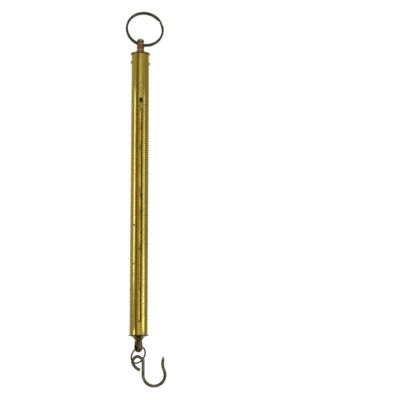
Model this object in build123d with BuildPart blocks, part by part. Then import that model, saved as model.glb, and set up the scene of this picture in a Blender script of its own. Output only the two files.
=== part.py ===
"""Tubular brass spring balance: a slotted case tube, a draw tube that slides in it against
an extension spring, swivel eyes at both ends, a split ring on top and a hook below.

Millimetres, +Z up along the tubes, the slot faces -Y. The origin is the bearing point
inside the top of the split ring, where the balance is hung up. Heights h are measured
up from the lower end of the case tube, and distances d outward from a tube's end.
"""
import os
from math import cos, pi, radians, sin, sqrt

from build123d import *

# ---------------------------------------------------------------- driving dimensions

# case tube: 3/4 inch stock brass tube
case_r = 9.5
case_wall = 0.9
case_length = 302.0
slot_width = 3.5
slot_low = 13.5
slot_high = 252.3
slot_low_corner_r = 0.6

# draw tube: 9/16 inch stock, slides in a bush at the case's mouth and carries the pointer
draw_r = 7.15
draw_wall = 0.7
draw_length = 247.5
guide_r = 8.45
guide_collar_low = 239.5
mouth_bush_top = 11.5
bush_play = 0.05
closing_gap = 0.1

# end caps: a trumpet outside the tube and a hollow spigot inside it
cap_height = 6.0
cap_flange_r = 10.7
cap_flange_thickness = 0.9
cap_neck_r = 3.5
cap_waist_r = 5.3
cap_waist_d = 3.1
cap_web = 2.5
spigot_play = 0.02
top_spigot_length = 24.0
top_cavity_r = 6.3
bottom_spigot_length = 17.0
bottom_cavity_r = 5.75

# swivel eyes: a drilled knob on a stem that turns in its cap
stem_r = 2.0
stem_end = 6.9
stem_play = 0.05
eye_gap = 0.1
eye_foot_r = 3.4
eye_collar_r = 4.15
eye_groove_r = 3.9
eye_knob_r = 4.3
eye_tip = 18.0
top_hole_r = 3.0
bottom_hole_r = 2.8
top_hole_d = 11.9
bottom_hole_d = 13.4
bottom_eye_turn = 27.6

# what holds each stem in its cap
washer_r = 4.6
washer_thickness = 0.8
nut_across_flats = 7.0
nut_thickness = 2.8

# fasteners
cap_screw_d = 9.4
cap_screw_stagger = 0.6
cap_screw_r = 1.1
cap_screw_head_r = 1.85
cap_screw_head = 0.8
tube_rivet_d = 9.0
tube_rivet_r = 1.1
spring_pin_r = 1.2
top_pin_d = 20.0
bottom_pin_d = 13.0

# main spring: 15 lb over the 225 mm scale
spring_wire = 1.47
spring_mean_r = 4.8
spring_turns = 175
spring_stretches = 25
spring_pin_gap = 0.4

# pointer
pointer_width = 3.1
pointer_low = 240.5
pointer_height = 6.0
pointer_thickness = 1.13
pointer_screw_h = 242.4
pointer_screw_r = 0.6
pointer_screw_head_r = 1.0
pointer_screw_head = 0.45

# split ring: two turns of round wire, leaning back and resting to one side of its hole
ring_mean_r = 19.7
ring_wire = 2.3
ring_turn_gap = 0.05
ring_shift = 5.0
ring_lean = 11.0
ring_first_end = 38.0
ring_crossing = 26.0

# link ring: bent from one length of wire, butted opposite the swivel eye
link_mean_r = 9.03
link_wire = 1.7
link_centre = (0.3, 4.17, -20.9)
link_normal = (0.5195, -0.766, -0.3787)
link_joint = 2.0

# load hook: one length of wire, bent in an upright plane turned a little from the slot's
hook_wire = 3.2
hook_back = 7.25
hook_turn = -8.0
hook_shank_x = 5.8
hook_shank_high = -29.0
hook_bowl_r = 11.5
hook_bowl_h = -41.45
hook_eye_points = [
    (2.7, -36.3),
    (-0.9, -34.6),
    (-4.0, -31.3),
    (-5.3, -27.6),
    (-3.4, -23.8),
    (0.4, -22.35),
    (4.1, -24.2),
]
hook_eye_slope = (-1, 0.22)
hook_limb_points = [(27.6, -36.4), (26.3, -31.5), (26.45, -27.0)]
hook_tip_slope = (0.1, 1)
hook_tip_length = 4.6
hook_tip_r = 0.45

# ---------------------------------------------------------------- derived places

case_bore_r = case_r - case_wall
draw_bore_r = draw_r - draw_wall
hole_half = eye_knob_r

# the ring's wire passes through the hole on a slope, and its middle height is centred there
ring_low_v = -sqrt(ring_mean_r**2 - (hole_half - ring_shift) ** 2)
ring_high_v = -sqrt(ring_mean_r**2 - (hole_half + ring_shift) ** 2)
ring_drop = -(ring_low_v + ring_high_v) / 2
ring_h = case_length + top_hole_d + ring_drop * cos(radians(ring_lean))
ring_back = ring_drop * sin(radians(ring_lean))
ring_bore_r = ring_mean_r - ring_wire / 2

# the origin is the inside of the ring's top, so the tubes stand to one side of it
axis_x = -ring_shift
axis_y = -(ring_back + ring_bore_r * sin(radians(ring_lean)))
base_z = -(ring_h + ring_bore_r * cos(radians(ring_lean)))

tube_axis = Axis((axis_x, axis_y, base_z), (0, 0, 1))
front = Plane(origin=(axis_x, axis_y, base_z), x_dir=(1, 0, 0), z_dir=(0, -1, 0))
top_end = Plane(origin=(axis_x, axis_y, base_z + case_length), x_dir=(1, 0, 0), z_dir=(0, -1, 0))
low_end = Plane(origin=(axis_x, axis_y, base_z), x_dir=(1, 0, 0), z_dir=(0, 1, 0))

top_pin_h = case_length - top_pin_d
bottom_pin_h = bottom_pin_d
hook_reach = spring_mean_r - spring_wire / 2 - spring_pin_r - spring_pin_gap
coil_low = bottom_pin_h + hook_reach
coil_high = top_pin_h - hook_reach

os.makedirs("parts", exist_ok=True)


def at(x, y, h):
    """A point given from the tube's axis and the case's lower end, in the part's frame."""
    return (axis_x + x, axis_y + y, base_z + h)


def level(h):
    """A horizontal plane across the tube's axis at height h."""
    return Plane(origin=at(0, 0, h))


def side_plane(x, h):
    """An upright plane facing +X, x to the right of the tube's axis at height h."""
    return Plane(origin=at(x, 0, h), x_dir=(0, 1, 0), z_dir=(1, 0, 0))


def save(part, node):
    """Label a finished piece and write its STEP file."""
    part.label = node
    export_step(part, f"parts/{node}.step")


def cap_outline(spigot_r, spigot_length, cavity_r):
    """Half section of an end cap, x outward from the axis and y away from the tube."""
    rim = cap_flange_thickness
    with BuildLine() as outline:
        Polyline(
            (stem_r + stem_play, cap_height),
            (stem_r + stem_play, -cap_web),
            (cavity_r, -cap_web),
            (cavity_r, -spigot_length),
            (spigot_r, -spigot_length),
            (spigot_r, 0),
            (cap_flange_r - 0.1, 0),
        )
        ThreePointArc((cap_flange_r - 0.1, 0), (cap_flange_r, rim / 2), (cap_flange_r - 0.25, rim))
        ThreePointArc((cap_flange_r - 0.25, rim), (cap_waist_r, cap_waist_d), (cap_neck_r, cap_height))
        Line((cap_neck_r, cap_height), (stem_r + stem_play, cap_height))
    return outline.edges()


def eye_outline():
    """Half section of a swivel eye: stem, foot, collar, groove and round-ended knob."""
    foot = cap_height + eye_gap
    with BuildLine() as outline:
        Polyline(
            (0, eye_tip),
            (0, -stem_end),
            (stem_r - 0.3, -stem_end),
            (stem_r, -stem_end + 0.3),
            (stem_r, foot),
            (eye_foot_r, foot),
        )
        Spline(
            (eye_foot_r, foot),
            (eye_collar_r, foot + 1.3),
            tangents=((0, 1), (0, 1)),
        )
        Polyline(
            (eye_collar_r, foot + 1.3),
            (eye_collar_r, foot + 2.7),
            (eye_groove_r, foot + 2.95),
            (eye_groove_r, foot + 3.1),
            (eye_knob_r, foot + 3.5),
            (eye_knob_r, eye_tip - eye_knob_r),
        )
        RadiusArc((eye_knob_r, eye_tip - eye_knob_r), (0, eye_tip), -eye_knob_r)
    return outline.edges()


# ---------------------------------------------------------------- suspension ring

ring_plane = Plane(
    origin=at(ring_shift, ring_back, ring_h),
    x_dir=(1, 0, 0),
    z_dir=(0, -cos(radians(ring_lean)), sin(radians(ring_lean))),
)


def ring_point(turn_angle):
    """Centre of the wire: a full turn behind, a smooth crossing, then a turn in front."""
    crossing_start = 360 + ring_first_end - ring_crossing
    share = min(max((turn_angle - crossing_start) / ring_crossing, 0), 1)
    layer = (ring_wire + ring_turn_gap) / 2
    depth = -layer * cos(pi * share)
    bend = radians(turn_angle)
    return (ring_mean_r * cos(bend), ring_mean_r * sin(bend), depth)


ring_last_end = ring_first_end + 720 - ring_crossing
ring_steps = 68
ring_points = [
    ring_point(ring_first_end + (ring_last_end - ring_first_end) * step / ring_steps)
    for step in range(ring_steps + 1)
]

with BuildPart() as split_ring:
    with BuildLine(ring_plane) as ring_path:
        Spline(*ring_points)
    with BuildSketch(Plane(origin=ring_path.line @ 0, z_dir=ring_path.line % 0)):
        Circle(ring_wire / 2)
    sweep()
save(split_ring.part, "split_ring")

# ---------------------------------------------------------------- swivel eyes

with BuildPart() as top_eye:
    with BuildSketch(top_end):
        make_face(eye_outline())
    revolve(axis=tube_axis)
    with BuildSketch(side_plane(0, case_length + top_hole_d)):
        Circle(top_hole_r)
    extrude(amount=2 * eye_knob_r, both=True, mode=Mode.SUBTRACT)
save(top_eye.part, "top_eye")

bottom_hole_way = (cos(radians(bottom_eye_turn)), sin(radians(bottom_eye_turn)), 0)

with BuildPart() as bottom_eye:
    with BuildSketch(low_end):
        make_face(eye_outline())
    revolve(axis=tube_axis)
    with BuildSketch(Plane(origin=at(0, 0, -bottom_hole_d), z_dir=bottom_hole_way)):
        Circle(bottom_hole_r)
    extrude(amount=2 * eye_knob_r, both=True, mode=Mode.SUBTRACT)
save(bottom_eye.part, "bottom_eye")


def washer_and_nut(end_h, inward):
    """Planes for a stem's washer and nut, under the cap's web and pointing inward."""
    washer_plane = Plane(origin=at(0, 0, end_h + inward * (cap_web + 0.05)), z_dir=(0, 0, inward))
    nut_plane = washer_plane.offset(washer_thickness)
    return washer_plane, nut_plane


top_washer_plane, top_nut_plane = washer_and_nut(case_length, -1)
bottom_washer_plane, bottom_nut_plane = washer_and_nut(0, 1)

with BuildPart() as top_washer:
    with BuildSketch(top_washer_plane):
        Circle(washer_r)
        Circle(stem_r, mode=Mode.SUBTRACT)
    extrude(amount=washer_thickness)
save(top_washer.part, "top_washer")

with BuildPart() as top_nut:
    with BuildSketch(top_nut_plane):
        RegularPolygon(nut_across_flats / 2, 6, major_radius=False)
        Circle(stem_r, mode=Mode.SUBTRACT)
    extrude(amount=nut_thickness)
save(top_nut.part, "top_nut")

with BuildPart() as bottom_washer:
    with BuildSketch(bottom_washer_plane):
        Circle(washer_r)
        Circle(stem_r, mode=Mode.SUBTRACT)
    extrude(amount=washer_thickness)
save(bottom_washer.part, "bottom_washer")

with BuildPart() as bottom_nut:
    with BuildSketch(bottom_nut_plane):
        RegularPolygon(nut_across_flats / 2, 6, major_radius=False)
        Circle(stem_r, mode=Mode.SUBTRACT)
    extrude(amount=nut_thickness)
save(bottom_nut.part, "bottom_nut")

# ---------------------------------------------------------------- end caps

screw_heights = {-1: cap_screw_stagger, 1: -cap_screw_stagger}

with BuildPart() as top_cap:
    with BuildSketch(top_end):
        make_face(cap_outline(case_bore_r - spigot_play, top_spigot_length, top_cavity_r))
    revolve(axis=tube_axis)
    for side, rise in screw_heights.items():
        with BuildSketch(side_plane(0, case_length - cap_screw_d + rise)):
            Circle(cap_screw_r)
        extrude(amount=side * case_r, mode=Mode.SUBTRACT)
    with BuildSketch(front):
        with Locations((0, top_pin_h)):
            Circle(spring_pin_r)
    extrude(amount=case_r, both=True, mode=Mode.SUBTRACT)
save(top_cap.part, "top_cap")

with BuildPart() as bottom_cap:
    with BuildSketch(low_end):
        make_face(cap_outline(draw_bore_r - spigot_play, bottom_spigot_length, bottom_cavity_r))
    revolve(axis=tube_axis)
    with BuildSketch(side_plane(0, tube_rivet_d)):
        Circle(tube_rivet_r)
    extrude(amount=case_r, both=True, mode=Mode.SUBTRACT)
    with BuildSketch(front):
        with Locations((0, bottom_pin_h)):
            Circle(spring_pin_r)
    extrude(amount=case_r, both=True, mode=Mode.SUBTRACT)
save(bottom_cap.part, "bottom_cap")

# two round-headed screws, one each side, a little staggered as hand-drilled
screw_inner_x = top_cavity_r + 0.1

with BuildPart() as cap_screws:
    for side, rise in screw_heights.items():
        screw_h = case_length - cap_screw_d + rise
        with BuildSketch(side_plane(side * screw_inner_x, screw_h)):
            Circle(cap_screw_r)
        extrude(amount=side * (case_r - screw_inner_x))
        with BuildSketch(Plane(origin=at(0, 0, screw_h), x_dir=(side, 0, 0), z_dir=(0, -side, 0))):
            with BuildLine():
                Line((case_r, 0), (case_r, cap_screw_head_r))
                Spline(
                    (case_r, cap_screw_head_r),
                    (case_r + cap_screw_head, 0),
                    tangents=((1, 0), (0, -1)),
                )
                Line((case_r + cap_screw_head, 0), (case_r, 0))
            make_face()
        revolve(axis=Axis(at(0, 0, screw_h), (1, 0, 0)))
save(cap_screws.part, "cap_screws")

# ---------------------------------------------------------------- case tube

with BuildPart() as case_tube:
    with BuildSketch(level(closing_gap)):
        Circle(case_r)
        Circle(case_bore_r, mode=Mode.SUBTRACT)
    extrude(amount=case_length - closing_gap)
    with BuildSketch(front) as slot_outline:
        with Locations((0, (slot_low + slot_high) / 2)):
            Rectangle(slot_width, slot_high - slot_low)
        fillet(slot_outline.vertices().group_by(Axis.Y)[-1], slot_width / 2 - 0.01)
        fillet(slot_outline.vertices().group_by(Axis.Y)[0], slot_low_corner_r)
    extrude(amount=case_r + 1, mode=Mode.SUBTRACT)
    for side, rise in screw_heights.items():
        with BuildSketch(side_plane(0, case_length - cap_screw_d + rise)):
            Circle(cap_screw_r)
        extrude(amount=side * (case_r + 1), mode=Mode.SUBTRACT)
save(case_tube.part, "case_tube")

# ---------------------------------------------------------------- draw tube

with BuildPart() as draw_tube:
    with BuildSketch(level(0)):
        Circle(draw_r)
        Circle(draw_bore_r, mode=Mode.SUBTRACT)
    extrude(amount=draw_length)
    for side in (-1, 1):
        with BuildSketch(side_plane(0, tube_rivet_d)):
            Circle(tube_rivet_r)
        extrude(amount=side * case_r, mode=Mode.SUBTRACT)
    with BuildSketch(front):
        with Locations((0, pointer_screw_h)):
            Circle(pointer_screw_r)
    extrude(amount=case_r, mode=Mode.SUBTRACT)
save(draw_tube.part, "draw_tube")

# the collar round the draw tube's upper end and the bush in the case's mouth keep it central
with BuildPart() as guide_collar:
    with BuildSketch(level(guide_collar_low)):
        Circle(guide_r)
        Circle(draw_r + spigot_play, mode=Mode.SUBTRACT)
    extrude(amount=draw_length - guide_collar_low)
    chamfer(guide_collar.edges().filter_by(GeomType.CIRCLE).sort_by(SortBy.RADIUS)[-2:], 0.3)
    with BuildSketch(front):
        with Locations((0, pointer_screw_h)):
            Circle(pointer_screw_r)
    extrude(amount=case_r, mode=Mode.SUBTRACT)
save(guide_collar.part, "guide_collar")

with BuildPart() as mouth_bush:
    with BuildSketch(level(closing_gap)):
        Circle(case_bore_r - spigot_play)
        Circle(draw_r + bush_play, mode=Mode.SUBTRACT)
    extrude(amount=mouth_bush_top - closing_gap)
save(mouth_bush.part, "mouth_bush")

# rivets that hold the bottom cap in the draw tube, dressed flush so that they clear the bush
rivet_inner_x = bottom_cavity_r + 0.1
rivet_face_x = sqrt(draw_r**2 - tube_rivet_r**2)

with BuildPart() as draw_tube_rivets:
    for side in (-1, 1):
        with BuildSketch(side_plane(side * rivet_inner_x, tube_rivet_d)):
            Circle(tube_rivet_r)
        extrude(amount=side * (rivet_face_x - rivet_inner_x))
save(draw_tube_rivets.part, "draw_tube_rivets")

# ---------------------------------------------------------------- pointer

pointer_inner = guide_r + 0.02

with BuildPart() as pointer:
    with BuildSketch(front.offset(pointer_inner)):
        with Locations((0, pointer_low + pointer_height / 2)):
            Rectangle(pointer_width, pointer_height)
        with Locations((0, pointer_screw_h)):
            Circle(pointer_screw_r, mode=Mode.SUBTRACT)
    extrude(amount=pointer_thickness)
    chamfer(pointer.faces().sort_by(Axis.Y)[0].outer_wire().edges(), 0.15)
save(pointer.part, "pointer")

pointer_face = pointer_inner + pointer_thickness

with BuildPart() as pointer_screw:
    with BuildSketch(front.offset(draw_bore_r - 0.4)):
        with Locations((0, pointer_screw_h)):
            Circle(pointer_screw_r)
    extrude(amount=pointer_face - draw_bore_r + 0.4)
    with BuildSketch(front.offset(pointer_face)):
        with Locations((0, pointer_screw_h)):
            Circle(pointer_screw_head_r)
    extrude(amount=pointer_screw_head)
    fillet(pointer_screw.edges().group_by(Axis.Y)[0], 0.2)
save(pointer_screw.part, "pointer_screw")

# ---------------------------------------------------------------- main spring and its pins

with BuildPart() as upper_spring_pin:
    with BuildSketch(front.offset(-(case_bore_r - 0.15))):
        with Locations((0, top_pin_h)):
            Circle(spring_pin_r)
    extrude(amount=2 * (case_bore_r - 0.15))
save(upper_spring_pin.part, "upper_spring_pin")

with BuildPart() as lower_spring_pin:
    with BuildSketch(front.offset(-(draw_bore_r - 0.15))):
        with Locations((0, bottom_pin_h)):
            Circle(spring_pin_r)
    extrude(amount=2 * (draw_bore_r - 0.15))
save(lower_spring_pin.part, "lower_spring_pin")

stretch_height = (coil_high - coil_low) / spring_stretches
coil_pitch = stretch_height / (spring_turns / spring_stretches)


def end_loop(h, outward, way):
    """A half loop out of the coil's end at height h and over its pin."""
    r = spring_mean_r
    return Spline(
        at(r, 0, h),
        at(0.66 * r, outward * 0.5 * r, h + outward * 0.6 * r),
        at(0, 0, h + outward * r),
        at(-0.75 * r, 0, h + outward * 0.62 * r),
        at(-0.95 * r, 0, h + outward * 0.3 * r),
        tangents=(way * outward, (0, 0, -outward)),
    )


with BuildPart() as main_spring:
    with BuildLine() as spring_path:
        # the coil is built in stretches of whole turns that run on from each other
        for stretch in range(spring_stretches):
            coil = Helix(
                pitch=coil_pitch,
                height=stretch_height,
                radius=spring_mean_r,
                center=at(0, 0, coil_low + stretch * stretch_height),
            )
        end_loop(coil_low, -1, coil % 0)
        end_loop(coil_high, 1, coil % 1)
    spring_route = spring_path.wires()[0]
    with BuildSketch(Plane(origin=spring_route @ 0, z_dir=spring_route % 0)):
        Circle(spring_wire / 2)
    sweep(path=spring_route, is_frenet=True)
save(main_spring.part, "main_spring")

# ---------------------------------------------------------------- link ring

link_origin = at(*link_centre)
to_eye = Vector(*at(0, 0, -bottom_hole_d)) - Vector(*link_origin)
link_plane = Plane(origin=link_origin, x_dir=to_eye, z_dir=link_normal)
link_section = Plane(origin=link_origin, x_dir=link_plane.x_dir, z_dir=link_plane.y_dir)

with BuildPart() as link_ring:
    # the wire's ends nearly meet opposite the eye
    with BuildSketch(link_section):
        with Locations((-link_mean_r, 0)):
            Circle(link_wire / 2)
    revolve(axis=Axis(link_origin, link_plane.z_dir), revolution_arc=360 - link_joint)
save(link_ring.part, "link_ring")

# ---------------------------------------------------------------- load hook

bowl_x = hook_shank_x + hook_bowl_r
limb_x = bowl_x + hook_bowl_r


hook_way = (cos(radians(hook_turn)), sin(radians(hook_turn)))


def in_hook_plane(*points):
    """Points of the hook's centre line, given as distance along its plane and height."""
    return [at(x * hook_way[0], hook_back + x * hook_way[1], h) for x, h in points]


def hook_heading(along, up):
    """A direction in the hook's plane."""
    return (along * hook_way[0], along * hook_way[1], up)


with BuildPart() as load_hook:
    with BuildLine() as hook_path:
        # the eye, from the wire's cut end round to the top of the shank
        hook_eye = Spline(
            *in_hook_plane(*hook_eye_points, (hook_shank_x, hook_shank_high)),
            tangents=(hook_heading(*hook_eye_slope), (0, 0, -1)),
        )
        Line(*in_hook_plane((hook_shank_x, hook_shank_high), (hook_shank_x, hook_bowl_h)))
        ThreePointArc(
            *in_hook_plane(
                (hook_shank_x, hook_bowl_h),
                (bowl_x, hook_bowl_h - hook_bowl_r),
                (limb_x, hook_bowl_h),
            )
        )
        hook_limb = Spline(
            *in_hook_plane((limb_x, hook_bowl_h), *hook_limb_points),
            tangents=((0, 0, 1), hook_heading(*hook_tip_slope)),
        )
    with BuildSketch(Plane(origin=hook_eye @ 0, z_dir=hook_eye % 0)):
        Circle(hook_wire / 2)
    sweep(path=hook_path.wires()[0])
    # the pointed end
    tip_base = Plane(origin=hook_limb @ 1, z_dir=hook_limb % 1)
    with BuildSketch(tip_base):
        Circle(hook_wire / 2)
    with BuildSketch(tip_base.offset(hook_tip_length / 2)):
        Circle(0.72 * hook_wire / 2)
    with BuildSketch(tip_base.offset(hook_tip_length)):
        Circle(hook_tip_r)
    loft()
save(load_hook.part, "load_hook")

print("origin above the case's lower end:", round(-base_z, 3))
print("tube axis at x, y:", round(axis_x, 3), round(axis_y, 3))
print("way of the lower eye's hole:", [round(part, 4) for part in bottom_hole_way])
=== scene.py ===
"""Looks of the tubular brass spring balance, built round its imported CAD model.

Metres, in the CAD model's own frame: +Z up along the tubes, the slot and its scale face -Y.
"""
from math import asin, cos, hypot, pi, radians, sin, sqrt

import bpy
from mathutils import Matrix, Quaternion, Vector


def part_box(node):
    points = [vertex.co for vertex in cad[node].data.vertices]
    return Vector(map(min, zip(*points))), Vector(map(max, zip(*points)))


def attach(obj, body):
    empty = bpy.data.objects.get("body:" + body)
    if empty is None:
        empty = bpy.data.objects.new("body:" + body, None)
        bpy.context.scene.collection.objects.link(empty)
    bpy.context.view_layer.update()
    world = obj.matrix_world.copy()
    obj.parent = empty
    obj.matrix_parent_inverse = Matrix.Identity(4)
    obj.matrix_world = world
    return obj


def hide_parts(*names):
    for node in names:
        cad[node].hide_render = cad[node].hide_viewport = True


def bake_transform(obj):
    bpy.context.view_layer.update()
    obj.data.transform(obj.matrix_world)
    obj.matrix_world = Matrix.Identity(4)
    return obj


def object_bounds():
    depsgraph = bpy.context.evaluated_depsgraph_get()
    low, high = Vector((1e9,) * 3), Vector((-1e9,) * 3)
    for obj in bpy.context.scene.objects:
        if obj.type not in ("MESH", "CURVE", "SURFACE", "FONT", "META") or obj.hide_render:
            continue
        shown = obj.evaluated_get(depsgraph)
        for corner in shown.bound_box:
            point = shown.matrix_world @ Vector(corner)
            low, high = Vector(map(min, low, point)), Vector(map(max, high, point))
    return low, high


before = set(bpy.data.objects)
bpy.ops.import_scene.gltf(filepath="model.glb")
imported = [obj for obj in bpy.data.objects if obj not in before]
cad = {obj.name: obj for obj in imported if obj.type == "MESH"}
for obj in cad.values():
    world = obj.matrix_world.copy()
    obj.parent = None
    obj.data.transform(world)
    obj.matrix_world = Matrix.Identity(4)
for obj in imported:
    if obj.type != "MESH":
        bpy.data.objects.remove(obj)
cad_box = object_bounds()
MM = 0.001

# ---------------------------------------------------------------- places and sizes

case_lo, case_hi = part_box("case_tube")
draw_lo, draw_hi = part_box("draw_tube")
spring_lo, spring_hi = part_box("main_spring")
AXIS_X = (case_lo.x + case_hi.x) / 2
AXIS_Y = (case_lo.y + case_hi.y) / 2

CASE_R = (case_hi.x - case_lo.x) / 2
CASE_WALL = 0.9 * MM
CASE_LENGTH = 302.0 * MM
CASE_TOP = case_hi.z
CASE_LOW = case_lo.z
BASE_Z = CASE_TOP - CASE_LENGTH

DRAW_R = (draw_hi.x - draw_lo.x) / 2
DRAW_WALL = 0.7 * MM

# heights in the case are measured up from its lower end
SLOT_HALF = 1.75 * MM
SLOT_LOW = 13.5 * MM
SLOT_HIGH = 252.3 * MM
SLOT_CORNER = 0.6 * MM

ZERO_H = 245.0 * MM
POUND = 15.0 * MM
POUNDS = 15
MARKS_PER_POUND = 6
MARK_STROKE = 0.42 * MM
MARK_START = 3.3 * MM
NUMBER_MIDDLE = 8.7 * MM
NUMBER_SIZE = 3.2 * MM
FILL_PROUD = 0.015 * MM

SPRING_WIRE_R = 0.735 * MM
SPRING_TURNS = 175


def round_tube(angle, radius, z):
    """A point on a cylinder round the tubes' axis. Angle 0 faces -Y and grows towards +X."""
    return Vector((AXIS_X + radius * sin(angle), AXIS_Y - radius * cos(angle), z))


# ---------------------------------------------------------------- material nodes


class Nodes:
    """Short ways to add and link shader nodes of one material."""

    def __init__(self, name):
        self.material = bpy.data.materials.new(name)
        self.material.use_nodes = True
        self.tree = self.material.node_tree
        self.shader = self.tree.nodes["Principled BSDF"]
        self.place = self.tree.nodes.new("ShaderNodeTexCoord").outputs["Object"]

    def link(self, source, target):
        self.tree.links.new(source, target)

    def stretched(self, scale):
        """Object coordinates, scaled along each axis."""
        mapping = self.tree.nodes.new("ShaderNodeMapping")
        mapping.inputs["Scale"].default_value = scale
        self.link(self.place, mapping.inputs["Vector"])
        return mapping.outputs["Vector"]

    def noise(self, scale, detail=4.0, roughness=0.55, distortion=0.0):
        node = self.tree.nodes.new("ShaderNodeTexNoise")
        node.inputs["Scale"].default_value = 1.0
        node.inputs["Detail"].default_value = detail
        node.inputs["Roughness"].default_value = roughness
        node.inputs["Distortion"].default_value = distortion
        self.link(self.stretched(scale), node.inputs["Vector"])
        return node.outputs["Fac"]

    def cells(self, scale, randomness=1.0):
        node = self.tree.nodes.new("ShaderNodeTexVoronoi")
        node.inputs["Scale"].default_value = 1.0
        node.inputs["Randomness"].default_value = randomness
        self.link(self.stretched(scale), node.inputs["Vector"])
        return node.outputs["Distance"]

    def span(self, value, low, high, to_low=0.0, to_high=1.0):
        """A value taken from one range to another, and held inside it."""
        node = self.tree.nodes.new("ShaderNodeMapRange")
        node.inputs["From Min"].default_value = low
        node.inputs["From Max"].default_value = high
        node.inputs["To Min"].default_value = to_low
        node.inputs["To Max"].default_value = to_high
        node.clamp = True
        self.link(value, node.inputs["Value"])
        return node.outputs["Result"]

    def math(self, operation, first, second):
        node = self.tree.nodes.new("ShaderNodeMath")
        node.operation = operation
        for socket, value in zip(node.inputs, (first, second)):
            if isinstance(value, float):
                socket.default_value = value
            else:
                self.link(value, socket)
        return node.outputs["Value"]

    def mix(self, share, first, second):
        """Two colours, or colour sockets, mixed by a share."""
        node = self.tree.nodes.new("ShaderNodeMix")
        node.data_type = "RGBA"
        self.link(share, node.inputs["Factor"])
        for socket, value in ((node.inputs[6], first), (node.inputs[7], second)):
            if isinstance(value, tuple):
                socket.default_value = (*value, 1)
            else:
                self.link(value, socket)
        return node.outputs[2]

    def speck(self, centre, size, ragged):
        """One stain: full inside its size, with a ragged rim."""
        node = self.tree.nodes.new("ShaderNodeVectorMath")
        node.operation = "DISTANCE"
        node.inputs[1].default_value = centre
        self.link(self.place, node.inputs[0])
        waver = 0.3 * size
        rim = self.span(ragged, 0.3, 0.7, -waver, waver)
        reach = self.math("ADD", node.outputs["Value"], rim)
        return self.span(reach, 0.7 * size, 1.15 * size, 1.0, 0.0)

    def stripe(self, low, high, soft):
        """A band along the tubes between two distances to the right of their axis."""
        parts = self.tree.nodes.new("ShaderNodeSeparateXYZ")
        self.link(self.place, parts.inputs[0])
        rise = self.span(parts.outputs["X"], AXIS_X + low - soft, AXIS_X + low + soft)
        fall = self.span(parts.outputs["X"], AXIS_X + high - soft, AXIS_X + high + soft, 1.0, 0.0)
        return self.math("MULTIPLY", rise, fall)

    def bump(self, height, distance, strength, under=None):
        node = self.tree.nodes.new("ShaderNodeBump")
        node.inputs["Distance"].default_value = distance
        node.inputs["Strength"].default_value = strength
        self.link(height, node.inputs["Height"])
        if under is not None:
            self.link(under, node.inputs["Normal"])
        return node.outputs["Normal"]


SPOT_COLOUR = (0.03, 0.02, 0.008)
RIPPLE_DEPTH = 0.020 * MM
SCRATCH_DEPTH = 0.012 * MM
PIT_DEPTH = 0.030 * MM

# painted shade on the draw tube beside the slot's right edge, standing in for the shadow of the
# slot's wall: from, to and softness, right of the axis
SLOT_SHADE_BAND = (0.75 * MM, 2.6 * MM, 0.35 * MM)
SLOT_SHADE_COLOUR = (0.015, 0.010, 0.003)


def aged_metal(
    name,
    clean,
    browned,
    dark,
    broad=(120, 120, 14),
    streaks=(900, 900, 25),
    cover=(0.45, 0.75),
    dirt=(0.56, 0.72),
    spots=0.07,
    rough=(0.15, 0.27),
    grain=0.12,
    coat=0.85,
    specks=(),
    painted_slot_shade=0.0,
):
    """Metal with broad browning, drawn streaks, dark spots, fine scratches and soft ripples, and
    when asked a painted shade band beside the slot's right edge.
    """
    n = Nodes(name)
    browning = n.span(n.noise(broad, detail=5, distortion=0.4), *cover)
    streak = n.span(n.noise(streaks, detail=6, roughness=0.65), *dirt)
    fine = n.noise((2600, 2600, 900), detail=3)
    spot = spot_share(n, fine, spots, specks)

    colour = n.mix(browning, clean, browned)
    colour = n.mix(n.math("MULTIPLY", streak, 0.75), colour, dark)
    colour = n.mix(n.math("MULTIPLY", spot, 0.9), colour, SPOT_COLOUR)
    # painted shade: a near-black band where the slot's wall shades the draw tube
    if painted_slot_shade:
        line = n.math("MULTIPLY", n.stripe(*SLOT_SHADE_BAND), painted_slot_shade)
        colour = n.mix(line, colour, SLOT_SHADE_COLOUR)
    n.link(colour, n.shader.inputs["Base Color"])
    n.shader.inputs["Metallic"].default_value = 1.0
    n.shader.inputs["Coat Weight"].default_value = coat
    n.shader.inputs["Coat Roughness"].default_value = 0.18

    worn = n.span(n.noise((700, 700, 120), detail=5), 0.3, 0.7, *rough)
    worn = n.math("ADD", worn, n.math("MULTIPLY", streak, 0.12))
    worn = n.math("ADD", worn, n.math("MULTIPLY", spot, 0.35))
    n.link(worn, n.shader.inputs["Roughness"])

    waves = n.bump(n.noise((90, 90, 28), detail=2), RIPPLE_DEPTH, 1.0)
    lines = n.noise((5200, 5200, 260), detail=4, roughness=0.7)
    scratches = n.bump(lines, SCRATCH_DEPTH, grain, waves)
    pits = n.bump(n.math("SUBTRACT", 1.0, spot), PIT_DEPTH, 0.6, scratches)
    n.link(pits, n.shader.inputs["Normal"])
    return n.material


def spot_share(n, fine, size, specks):
    """Where the metal is spotted: small spots in patches, and each named stain."""
    field = n.math("ADD", n.cells((210, 210, 95)), n.span(fine, 0.3, 0.7, -0.03, 0.03))
    spot = n.span(field, size * 0.6, size, 1.0, 0.0)
    patch = n.span(n.noise((60, 60, 30), detail=2), 0.50, 0.62)
    spot = n.math("MULTIPLY", spot, patch)
    for centre, radius in specks:
        spot = n.math("MAXIMUM", spot, n.speck(centre, radius, fine))
    return spot


# stains on the case: bearing from the slot in degrees, height above its lower end, size in mm
CASE_SPECKS = (
    (-41, 115, 1.1),
    (-41, 74, 0.9),
    (-33, 203, 0.6),
    (13, 130, 0.9),
    (62, 171, 0.9),
    (-75, 48, 1.2),
    (140, 96, 1.3),
    (-150, 210, 1.1),
)


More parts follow.
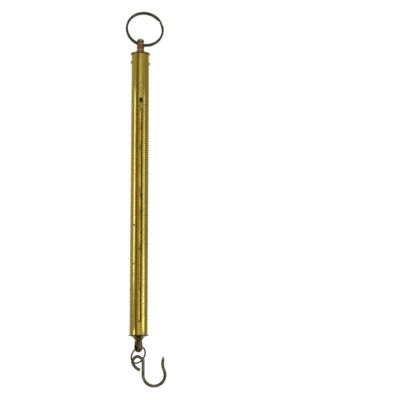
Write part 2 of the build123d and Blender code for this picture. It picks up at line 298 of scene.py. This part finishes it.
def case_brass():
    """Handled drawn brass: olive gold with brown streaks along the tube and dark spots."""
    return aged_metal(
        "case_brass",
        clean=(0.60, 0.468, 0.105),
        browned=(0.46, 0.34, 0.06),
        dark=(0.22, 0.15, 0.018),
        streaks=(420, 420, 22),
        cover=(0.42, 0.78),
        dirt=(0.60, 0.80),
        grain=0.05,
        coat=0.6,
        specks=[
            (round_tube(radians(bearing), CASE_R, BASE_Z + height * MM), size * MM)
            for bearing, height, size in CASE_SPECKS
        ],
    )


def inside_tarnish():
    """The case's unpolished inside and the cut sides of its slot: tarnished, and darkened nearly
    black as painted shade for the shadow inside the slot.
    """
    return aged_metal(
        "inside_tarnish",
        clean=(0.08, 0.048, 0.010),
        browned=(0.045, 0.027, 0.006),
        dark=(0.02, 0.012, 0.003),
        rough=(0.40, 0.55),
        coat=0.0,
    )


def inner_brass():
    """The draw tube: yellower, with mottled stains where the slot leaves it open, and a painted
    shade band along the slot's right edge.
    """
    return aged_metal(
        "inner_brass",
        clean=(0.80, 0.58, 0.10),
        browned=(0.52, 0.34, 0.04),
        dark=(0.10, 0.06, 0.008),
        broad=(260, 260, 60),
        streaks=(500, 500, 120),
        cover=(0.42, 0.62),
        dirt=(0.50, 0.64),
        rough=(0.13, 0.24),
        grain=0.06,
        coat=0.2,
        # painted shade along the slot's right edge
        painted_slot_shade=0.95,
    )


def dimmed(colour, level):
    """A colour made darker by one factor."""
    return tuple(level * part for part in colour)


def turned_brass(name, level):
    """Caps and eyes: dark brown brass, brighter where handling keeps it rubbed."""
    return aged_metal(
        name,
        clean=dimmed((0.34, 0.24, 0.085), level),
        browned=dimmed((0.16, 0.108, 0.04), level),
        dark=dimmed((0.05, 0.033, 0.014), level),
        broad=(150, 150, 110),
        streaks=(260, 260, 200),
        cover=(0.38, 0.62),
        dirt=(0.52, 0.72),
        rough=(0.20, 0.32),
        grain=0.06,
        coat=0.3,
    )


def small_brass(name, clean):
    """Screws, rivets, nuts and the pointer: plain machined brass, stained in the corners."""
    return aged_metal(
        name,
        clean=clean,
        browned=dimmed(clean, 0.55),
        dark=(0.09, 0.06, 0.02),
        broad=(700, 700, 500),
        streaks=(1800, 1800, 900),
        rough=(0.26, 0.42),
    )


def dark_steel(name, clean, browned, dark):
    """Steel wire, oiled dark and rubbed grey in patches."""
    return aged_metal(
        name,
        clean=clean,
        browned=browned,
        dark=dark,
        broad=(240, 240, 240),
        streaks=(320, 320, 260),
        cover=(0.42, 0.60),
        dirt=(0.52, 0.70),
        spots=0.06,
        rough=(0.20, 0.34),
        grain=0.08,
        coat=0.3,
    )


def ring_steel():
    return dark_steel("ring_steel", (0.09, 0.09, 0.09), (0.045, 0.044, 0.044), (0.02, 0.018, 0.016))


def link_steel():
    return dark_steel("link_steel", (0.12, 0.11, 0.10), (0.06, 0.054, 0.048), (0.03, 0.025, 0.02))


def hook_steel():
    return dark_steel("hook_steel", (0.17, 0.16, 0.148), (0.10, 0.082, 0.066), (0.035, 0.027, 0.02))


def spring_steel():
    return dark_steel("spring_steel", (0.26, 0.25, 0.23), (0.12, 0.115, 0.10), (0.05, 0.045, 0.04))


def engraving_fill():
    """Brown dirt left in the engraved lines, worn thin in places."""
    n = Nodes("engraving_fill")
    thin = n.span(n.noise((900, 900, 900), detail=4), 0.45, 0.65)
    n.link(n.mix(thin, (0.07, 0.05, 0.015), (0.22, 0.16, 0.045)), n.shader.inputs["Base Color"])
    n.link(n.span(thin, 0.0, 1.0, 0.75, 0.45), n.shader.inputs["Roughness"])
    n.shader.inputs["Metallic"].default_value = 0.5
    n.link(n.bump(n.noise((4000, 4000, 4000)), 0.00001, 0.4), n.shader.inputs["Normal"])
    return n.material


def floor_paint():
    """Plain pale floor with the faintest mottle."""
    n = Nodes("floor_paint")
    mottle = n.noise((3, 3, 3), detail=3)
    pale = n.mix(mottle, (0.93, 0.93, 0.925), (0.96, 0.96, 0.955))
    n.link(pale, n.shader.inputs["Base Color"])
    n.link(pale, n.shader.inputs["Emission Color"])
    n.shader.inputs["Emission Strength"].default_value = 0.72
    n.shader.inputs["Roughness"].default_value = 0.85
    return n.material


# ---------------------------------------------------------------- mesh helpers


def add_piece(name, points, faces, material, body, slot, replaced=(), smooth_angle=35.0):
    """A mesh object from points and faces, smooth except at corners, riding on a body."""
    mesh = bpy.data.meshes.new(name)
    mesh.from_pydata([tuple(p) for p in points], [], faces)
    mesh.validate()
    mesh.update()
    piece = bpy.data.objects.new(name, mesh)
    bpy.context.scene.collection.objects.link(piece)
    shade(piece, smooth_angle)
    mesh.materials.append(material)
    if body:
        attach(piece, body)
    if replaced:
        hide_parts(*replaced)
    return piece


def shade(piece, smooth_angle):
    """Smooth shading, with every corner sharper than the angle kept sharp."""
    piece.data.polygons.foreach_set("use_smooth", [True] * len(piece.data.polygons))
    piece.data.set_sharp_from_angle(angle=radians(smooth_angle))


def soften(piece, width, segments=2):
    """Narrow rounded edges, made part of the mesh."""
    bevel = piece.modifiers.new("edges", "BEVEL")
    bevel.width = width
    bevel.segments = segments
    bevel.limit_method = "ANGLE"
    bevel.angle_limit = radians(50)
    bevel.harden_normals = False
    graph = bpy.context.evaluated_depsgraph_get()
    mesh = bpy.data.meshes.new_from_object(piece.evaluated_get(graph))
    piece.modifiers.clear()
    old = piece.data
    piece.data = mesh
    bpy.data.meshes.remove(old)
    mesh.name = piece.name
    shade(piece, 30.0)


def paint(node, material):
    """A procedural material on a CAD node whose shape is kept."""
    piece = cad[node]
    piece.data.materials.clear()
    piece.data.materials.append(material)
    shade(piece, 32.0)


# ---------------------------------------------------------------- case tube


def slot_top(x):
    """Height of the slot's round top at a distance from its middle line."""
    return SLOT_HIGH - SLOT_HALF + sqrt(max(SLOT_HALF**2 - x**2, 0))


def slot_bottom(x):
    """Height of the slot's lower edge, square with small round corners."""
    past = max(abs(x) - (SLOT_HALF - SLOT_CORNER), 0)
    return SLOT_LOW + SLOT_CORNER - sqrt(max(SLOT_CORNER**2 - past**2, 0))


def case_columns():
    """Each wall column's outer angle, inner angle and distance from the slot's middle line.

    The columns across the slot come first, and their count is the second value.
    """
    across, round_back = 28, 200
    inner_r = CASE_R - CASE_WALL
    columns = []
    for step in range(across + 1):
        x = SLOT_HALF * sin(pi * (step / across - 0.5))
        columns.append((asin(x / CASE_R), asin(x / inner_r), x))
    edge = (asin(SLOT_HALF / CASE_R), asin(SLOT_HALF / inner_r))
    for step in range(1, round_back):
        share = step / round_back
        columns.append(tuple(e + share * (2 * pi - 2 * e) for e in edge) + (None,))
    return columns, across


class CaseWall:
    """Points and faces of the slotted wall, its columns in line on the outer and inner face."""

    def __init__(self):
        self.columns, self.slot_columns = case_columns()
        self.points = []
        self.faces = []
        self.index = {}
        self.build()

    def height(self, row, x):
        """Height of a named row, at a distance from the slot's middle line or past the slot."""
        return {
            "foot": CASE_LOW - BASE_Z,
            "under slot": SLOT_LOW - 1 * MM,
            "slot low": SLOT_LOW + SLOT_CORNER if x is None else slot_bottom(x),
            "slot high": SLOT_HIGH - SLOT_HALF if x is None else slot_top(x),
            "over slot": SLOT_HIGH + 1 * MM,
            "top": CASE_TOP - BASE_Z,
        }[row]

    def corner(self, column, row, face):
        """Index of a point: a column of the wall, a named row, and face 0 outside or 1 inside."""
        key = (column % len(self.columns), row, face)
        if key not in self.index:
            *angles, x = self.columns[key[0]]
            radius = (CASE_R, CASE_R - CASE_WALL)[face]
            self.index[key] = len(self.points)
            self.points.append(round_tube(angles[face], radius, BASE_Z + self.height(row, x)))
        return self.index[key]

    def quad(self, corners, turned):
        face = [self.corner(*place) for place in corners]
        self.faces.append(face[::-1] if turned else face)

    def wall(self, column, low, high):
        """The outer and inner quads of one cell of the wall."""
        for face in (0, 1):
            here, there = (column, low, face), (column + 1, low, face)
            self.quad((here, there, (column + 1, high, face), (column, high, face)), face == 1)

    def rim(self, column, row, upward):
        """One quad of an edge face across the wall's thickness."""
        here, there = (column, row, 0), (column + 1, row, 0)
        self.quad((here, there, (column + 1, row, 1), (column, row, 1)), not upward)

    def slot_side(self, column, turned):
        """The straight side of the slot."""
        low, high = (column, "slot low", 0), (column, "slot high", 0)
        self.quad((low, high, (column, "slot high", 1), (column, "slot low", 1)), turned)

    def build(self):
        for column in range(len(self.columns)):
            in_slot = column < self.slot_columns
            self.wall(column, "foot", "under slot")
            self.wall(column, "under slot", "slot low")
            if not in_slot:
                self.wall(column, "slot low", "slot high")
            self.wall(column, "slot high", "over slot")
            self.wall(column, "over slot", "top")
            self.rim(column, "foot", False)
            self.rim(column, "top", True)
            if in_slot:
                self.rim(column, "slot low", True)
                self.rim(column, "slot high", False)
        self.slot_side(0, False)
        self.slot_side(self.slot_columns, True)


def make_case_tube(material, inside):
    """The slotted case, polished outside; its inner and cut faces tarnished and darkened as painted
    shade.
    """
    wall = CaseWall()
    places = (material, "case", "case_tube", ["case_tube"])
    piece = add_piece("brass_case", wall.points, wall.faces, *places)
    piece.data.materials.append(inside)
    # inner and cut faces take the dark material: tarnish, with painted shade for the shadow in the
    # slot
    skin = 0.2 * MM
    for polygon in piece.data.polygons:
        depth = CASE_R - hypot(polygon.center.x - AXIS_X, polygon.center.y - AXIS_Y)
        polygon.material_index = 1 if depth > skin else 0
    soften(piece, 0.13 * MM)


def make_draw_tube(material):
    """The plain inner tube, with softened ends."""
    around = 192
    profile = [
        (DRAW_R - DRAW_WALL, draw_lo.z),
        (DRAW_R, draw_lo.z),
        (DRAW_R, draw_hi.z),
        (DRAW_R - DRAW_WALL, draw_hi.z),
    ]
    points, faces = [], []
    for step in range(around):
        for radius, z in profile:
            points.append(round_tube(2 * pi * step / around, radius, z))
    size = len(profile)
    for step in range(around):
        here, there = step * size, (step + 1) % around * size
        for k in range(size):
            faces.append([here + k, there + k, there + (k + 1) % size, here + (k + 1) % size])
    piece = add_piece("inner_tube", points, faces, material, "draw", "draw_tube", ["draw_tube"])
    soften(piece, 0.12 * MM)


# ---------------------------------------------------------------- engraved scale


def curved_strip(points, faces, angle_a, angle_b, z_a, z_b):
    """One engraved stroke: a thin band in the case's skin between two angles and heights."""
    deep, proud = CASE_R - 0.03 * MM, CASE_R + 0.012 * MM
    steps = max(2, round(abs(angle_b - angle_a) / radians(2.0)) + 1)
    start = len(points)
    for step in range(steps):
        angle = angle_a + (angle_b - angle_a) * step / (steps - 1)
        for radius, z in ((deep, z_a), (proud, z_a), (proud, z_b), (deep, z_b)):
            points.append(round_tube(angle, radius, z))
    for step in range(steps - 1):
        here = start + 4 * step
        for k in range(4):
            beside = (k + 1) % 4
            faces.append([here + k, here + 4 + k, here + 4 + beside, here + beside])
    last = start + 4 * (steps - 1)
    faces.append([start + 3, start + 2, start + 1, start])
    faces.append([last, last + 1, last + 2, last + 3])


def make_scale_marks(material):
    """Graduations along the slot's right side, the pounds longest and the half pounds longer."""
    points, faces = [], []
    for mark in range(POUNDS * MARKS_PER_POUND + 1):
        z = BASE_Z + ZERO_H - mark * POUND / MARKS_PER_POUND
        reach = 2.5 * MM
        if mark % (MARKS_PER_POUND // 2) == 0:
            reach = 3.0 * MM
        if mark % MARKS_PER_POUND == 0:
            reach = 3.5 * MM
        first, last = MARK_START / CASE_R, (MARK_START + reach) / CASE_R
        curved_strip(points, faces, first, last, z - MARK_STROKE / 2, z + MARK_STROKE / 2)
    add_piece("scale_marks", points, faces, material, "case", "case_tube")


def oval(half_width, half_height, steps):
    """Points round an oval, or round a diamond when there are four, as across and up."""
    turns = [2 * pi * step / steps for step in range(steps)]
    return [(half_width * sin(turn), half_height * cos(turn)) for turn in turns]


def make_badge(material):
    """A plain engraved oval with a diamond in it, above the slot."""
    points, faces = [], []
    centre_z = BASE_Z + 265 * MM
    stroke = 0.38 * MM
    for outline in (oval(3.4 * MM, 4.6 * MM, 48), oval(1.7 * MM, 2.4 * MM, 4)):
        start, count = len(points), len(outline)
        for across, up in outline:
            for grow in (-stroke / 2, stroke / 2):
                share = 1 + grow / hypot(across, up)
                angle = across * share / CASE_R
                points.append(round_tube(angle, CASE_R + FILL_PROUD, centre_z + up * share))
        for k in range(count):
            here, there = start + 2 * k, start + 2 * ((k + 1) % count)
            faces.append([here, here + 1, there + 1, there])
    add_piece("plain_badge", points, faces, material, "case", "case_tube")


def flat_digits(text):
    """A flat mesh of one number in the default typeface, about its own middle."""
    curve = bpy.data.curves.new("digits", "FONT")
    curve.body = text
    curve.size = NUMBER_SIZE
    curve.align_x = "CENTER"
    curve.align_y = "CENTER"
    curve.resolution_u = 3
    holder = bpy.data.objects.new("digits", curve)
    bpy.context.scene.collection.objects.link(holder)
    graph = bpy.context.evaluated_depsgraph_get()
    flat = bpy.data.meshes.new_from_object(holder.evaluated_get(graph))
    bpy.data.objects.remove(holder)
    bpy.data.curves.remove(curve)
    return flat


def make_numbers(material):
    """Pound numbers beside the long marks, bent round the case."""
    points, faces = [], []
    for pounds in range(POUNDS + 1):
        flat = flat_digits(str(pounds))
        height = BASE_Z + ZERO_H - pounds * POUND
        start = len(points)
        for vertex in flat.vertices:
            angle = (NUMBER_MIDDLE + vertex.co.x) / CASE_R
            points.append(round_tube(angle, CASE_R + FILL_PROUD, height + vertex.co.y))
        for polygon in flat.polygons:
            faces.append([start + k for k in polygon.vertices])
        bpy.data.meshes.remove(flat)
    add_piece("scale_numbers", points, faces, material, "case", "case_tube")


# ---------------------------------------------------------------- spring


def spring_path():
    """The middle line of the wire: a half loop, the close coils, and a half loop."""
    mean_r = (spring_hi.x - spring_lo.x) / 2 - SPRING_WIRE_R
    loop = 0.9 * mean_r
    low = spring_lo.z + SPRING_WIRE_R + loop
    high = spring_hi.z - SPRING_WIRE_R - loop
    loop_steps, around = 10, 20
    path = []
    for step in range(loop_steps):
        bend = pi * (1.0 - step / loop_steps)
        path.append(Vector((AXIS_X, AXIS_Y + mean_r * cos(bend), low - loop * sin(bend))))
    for step in range(SPRING_TURNS * around + 1):
        bend = 2 * pi * step / around
        z = low + (high - low) * step / (SPRING_TURNS * around)
        path.append(Vector((AXIS_X + mean_r * sin(bend), AXIS_Y + mean_r * cos(bend), z)))
    for step in range(1, loop_steps):
        bend = pi * step / loop_steps
        path.append(Vector((AXIS_X, AXIS_Y + mean_r * cos(bend), high + loop * sin(bend))))
    return path


def make_spring(material):
    """Close-wound extension spring with a loop at each end, stretched between its pins."""
    points, faces = sweep_wire(spring_path(), SPRING_WIRE_R, sides=8)
    piece = add_piece("coil_spring", points, faces, material, None, "main_spring", ["main_spring"])
    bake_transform(piece)


def sweep_wire(path, radius, sides):
    """Points and faces of a round wire along a path, its section carried without twist."""
    points, faces = [], []
    normal = None
    last = len(path) - 1
    for k, centre in enumerate(path):
        ahead = (path[min(k + 1, last)] - path[max(k - 1, 0)]).normalized()
        if normal is None:
            normal = ahead.orthogonal().normalized()
        normal = (normal - ahead * normal.dot(ahead)).normalized()
        across = ahead.cross(normal)
        for side in range(sides):
            bend = 2 * pi * side / sides
            points.append(centre + radius * (cos(bend) * normal + sin(bend) * across))
    for k in range(last):
        for side in range(sides):
            beside = (side + 1) % sides
            here, there = k * sides, (k + 1) * sides
            faces.append([here + side, here + beside, there + beside, there + side])
    faces.append(list(range(sides))[::-1])
    faces.append([last * sides + side for side in range(sides)])
    return points, faces


# ---------------------------------------------------------------- studio


def add_light(name, place, target, size, power, colour=(1, 1, 1)):
    """A rectangular soft light aimed at a point."""
    data = bpy.data.lights.new(name, "AREA")
    data.shape = "RECTANGLE"
    data.size, data.size_y = size
    data.energy = power
    data.color = colour
    light = bpy.data.objects.new(name, data)
    bpy.context.scene.collection.objects.link(light)
    light.location = place
    light.rotation_euler = (Vector(target) - Vector(place)).to_track_quat("-Z", "Y").to_euler()
    return light


def around_object(bearing, distance, height):
    """A place round the tubes: bearing 0 is in front of the slot, and grows to the right."""
    return round_tube(radians(bearing), distance, height)


def make_floor():
    """A wide pale floor, below the hook even with the draw tube out."""
    low = cad_box[0].z - 320 * MM
    half, cells = 4.0, 8
    points, faces = [], []
    for row in range(cells + 1):
        for column in range(cells + 1):
            points.append((half * (2 * column / cells - 1), half * (2 * row / cells - 1), low))
    for row in range(cells):
        for column in range(cells):
            first = row * (cells + 1) + column
            faces.append([first, first + 1, first + cells + 2, first + cells + 1])
    floor = add_piece("floor", points, faces, floor_paint(), None, None)
    floor.visible_glossy = False


# brightness of the reflected room at each bearing from the slot, in degrees
ROOM_STOPS = (
    (-180, 0.55),
    (-125, 0.50),
    (-100, 0.42),
    (-68, 0.48),
    (-53, 0.26),
    (-42, 0.05),
    (-33, 0.20),
    (-20, 0.62),
    (-8, 0.92),
    (4, 0.85),
    (18, 0.50),
    (45, 0.42),
    (75, 0.36),
    (95, 0.30),
    (120, 0.42),
    (180, 0.55),
)


def wall_colour(level):
    """Colour of the room at a brightness: the darker, the warmer."""
    return (level, level * (0.84 + 0.14 * level), level * (0.22 + 0.55 * level), 1)


def make_world():
    """White surroundings as seen. As reflected, a dim room whose darker walls are warmer."""
    world = bpy.data.worlds.new("studio")
    bpy.context.scene.world = world
    world.use_nodes = True
    tree = world.node_tree
    tree.nodes.clear()

    def add(kind):
        return tree.nodes.new("ShaderNode" + kind)

    seen, room, rays, choice, out = map(
        add, ("Background", "Background", "LightPath", "MixShader", "OutputWorld")
    )
    seen.inputs["Color"].default_value = (1, 1, 1, 1)
    way, parts, back, bearing, share, walls = map(
        add, ("TexCoord", "SeparateXYZ", "Math", "Math", "MapRange", "ValToRGB")
    )
    back.operation = "MULTIPLY"
    back.inputs[1].default_value = -1.0
    bearing.operation = "ARCTAN2"
    share.inputs["From Min"].default_value = -pi
    share.inputs["From Max"].default_value = pi
    tree.links.new(way.outputs["Generated"], parts.inputs[0])
    tree.links.new(parts.outputs["Y"], back.inputs[0])
    tree.links.new(parts.outputs["X"], bearing.inputs[0])
    tree.links.new(back.outputs[0], bearing.inputs[1])
    tree.links.new(bearing.outputs[0], share.inputs["Value"])
    tree.links.new(share.outputs[0], walls.inputs["Fac"])
    stops = walls.color_ramp.elements
    for k, (degrees_round, level) in enumerate(ROOM_STOPS):
        place = (degrees_round + 180) / 360
        stop = stops[k] if k < 1 else stops.new(place)
        stop.position = place
        stop.color = wall_colour(level)
    stops.remove(stops[-1])
    tree.links.new(walls.outputs["Color"], room.inputs["Color"])
    tree.links.new(rays.outputs["Is Camera Ray"], choice.inputs["Fac"])
    tree.links.new(room.outputs[0], choice.inputs[1])
    tree.links.new(seen.outputs[0], choice.inputs[2])
    tree.links.new(choice.outputs[0], out.inputs["Surface"])


# the view: degrees, metres, and millimetres of lens
VIEW_BEARING = -6.0
VIEW_DISTANCE = 1.042
VIEW_PITCH = 7.8
VIEW_YAW = 3.55
VIEW_ROLL = -0.09
LENS = 88.65


def make_camera():
    """Level with the case's lower end, looking a little up, the tubes left of the middle."""
    data = bpy.data.cameras.new("camera")
    data.lens = LENS
    data.sensor_width = 36.0
    camera = bpy.data.objects.new("camera", data)
    bpy.context.scene.collection.objects.link(camera)
    camera.location = around_object(VIEW_BEARING, VIEW_DISTANCE, BASE_Z)
    heading = radians(-VIEW_BEARING + VIEW_YAW)
    pitch = radians(VIEW_PITCH)
    aim = Vector((sin(heading) * cos(pitch), cos(heading) * cos(pitch), sin(pitch)))
    turn = aim.to_track_quat("-Z", "Y") @ Quaternion((0, 0, 1), radians(VIEW_ROLL))
    camera.rotation_euler = turn.to_euler()
    bpy.context.scene.camera = camera


# name, bearing from the view, distance, lower and upper height, width, level, colour
STRIP_LIGHTS = (
    ("left_box", -70, 0.55, 0.08, 0.42, 0.15, 2.3, (0.92, 0.96, 1.0)),
    ("right_box", 58, 0.9, -0.20, 0.48, 0.26, 1.5, (0.84, 0.92, 1.0)),
    ("low_box", 64, 0.92, -0.30, 0.16, 0.48, 1.1, (0.84, 0.92, 1.0)),
    ("hook_box", -60, 0.5, -0.34, -0.09, 0.06, 7.0, (0.96, 0.98, 1.0)),
)


def make_lights():
    """Tall strips facing the tubes, each as bright as a mirror would show it, and one overhead."""
    for name, bearing, distance, low, high, width, level, colour in STRIP_LIGHTS:
        height = BASE_Z + (low + high) / 2
        place = around_object(VIEW_BEARING + bearing, distance, height)
        power = level * pi * width * (high - low)
        add_light(name, place, round_tube(0, 0, height), (width, high - low), power, colour)
    middle = round_tube(0, 0, BASE_Z + 150 * MM)
    above = (AXIS_X, AXIS_Y - 0.2, BASE_Z + 1.3)
    add_light("top_box", above, middle, (0.9, 0.9), 2.5)


# ---------------------------------------------------------------- assembly


def paint_cad_nodes(inner, steel):
    """Materials of the CAD nodes that keep their own shape."""
    top_brass = turned_brass("top_brass", 1.0)
    bottom_brass = turned_brass("bottom_brass", 0.5)
    machined = small_brass("machined_brass", (0.60, 0.43, 0.14))
    screw = small_brass("screw_brass", (0.36, 0.26, 0.09))
    painted = {
        "top_cap": top_brass,
        "top_eye": top_brass,
        "bottom_cap": bottom_brass,
        "bottom_eye": bottom_brass,
        "guide_collar": inner,
        "mouth_bush": inner,
        "top_washer": machined,
        "top_nut": machined,
        "bottom_washer": machined,
        "bottom_nut": machined,
        "draw_tube_rivets": machined,
        "cap_screws": screw,
        "pointer_screw": screw,
        "pointer": small_brass("pointer_brass", (0.46, 0.34, 0.075)),
        "upper_spring_pin": steel,
        "lower_spring_pin": steel,
        "split_ring": ring_steel(),
        "link_ring": link_steel(),
        "load_hook": hook_steel(),
    }
    for node, material in painted.items():
        paint(node, material)


def main():
    inner = inner_brass()
    steel = spring_steel()
    fill = engraving_fill()
    make_case_tube(case_brass(), inside_tarnish())
    make_draw_tube(inner)
    make_scale_marks(fill)
    make_numbers(fill)
    make_badge(fill)
    make_spring(steel)
    paint_cad_nodes(inner, steel)

    make_floor()
    make_world()
    make_lights()
    make_camera()
    bpy.context.scene.view_settings.view_transform = "Standard"


main()
